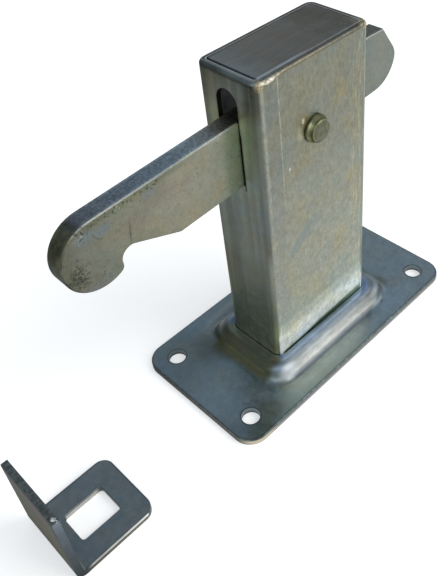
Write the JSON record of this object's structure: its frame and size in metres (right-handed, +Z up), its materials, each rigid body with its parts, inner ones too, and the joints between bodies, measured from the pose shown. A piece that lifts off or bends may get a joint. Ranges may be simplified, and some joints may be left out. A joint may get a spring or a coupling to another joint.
{
  "type": "hook door latch",
  "caption": "Floor post on a pressed base plate with a pivoting gravity hook, and a loose slotted angle keeper, for holding a door or gate open.",
  "frame": {"origin": "centre of the base plate's underside, in the middle of its four screw holes, on the floor", "axes": "+Z up along the post, -X towards the hook's nose and the keeper, +X towards its thumb tail, Y along the rivet that the hook turns on, with the rivet's formed head at -Y"},
  "size_m": [0.214, 0.07, 0.146],
  "materials": {
    "plated_sheet": "satin blue-grey zinc plating",
    "plated_tube": "satin zinc plating with a faint yellow passivation",
    "plated_cap": "satin zinc plating, ground at the rim",
    "plated_weld": "ground and plated weld",
    "plated_rivet": "satin zinc plating",
    "plated_bar": "satin zinc plating with fine pits",
    "plated_strip": "satin blue-grey zinc plating"
  },
  "bodies": {
    "root": {"base_plate": "plated_sheet", "post_tube": "plated_tube", "top_cap": "plated_cap", "cap_weld": "plated_weld", "foot_weld": "plated_weld", "pivot_rivet": "plated_rivet", "keeper": "plated_strip"},
    "hook": {"hook_lever": "plated_bar"}
  },
  "joints": [
    {"name": "hook_pivot", "type": "hinge", "parent": "root", "child": "hook", "pos_m": [-0.002, 0, 0.1155], "axis": [0, 1, 0], "range_deg": [0, 14]}
  ]
}
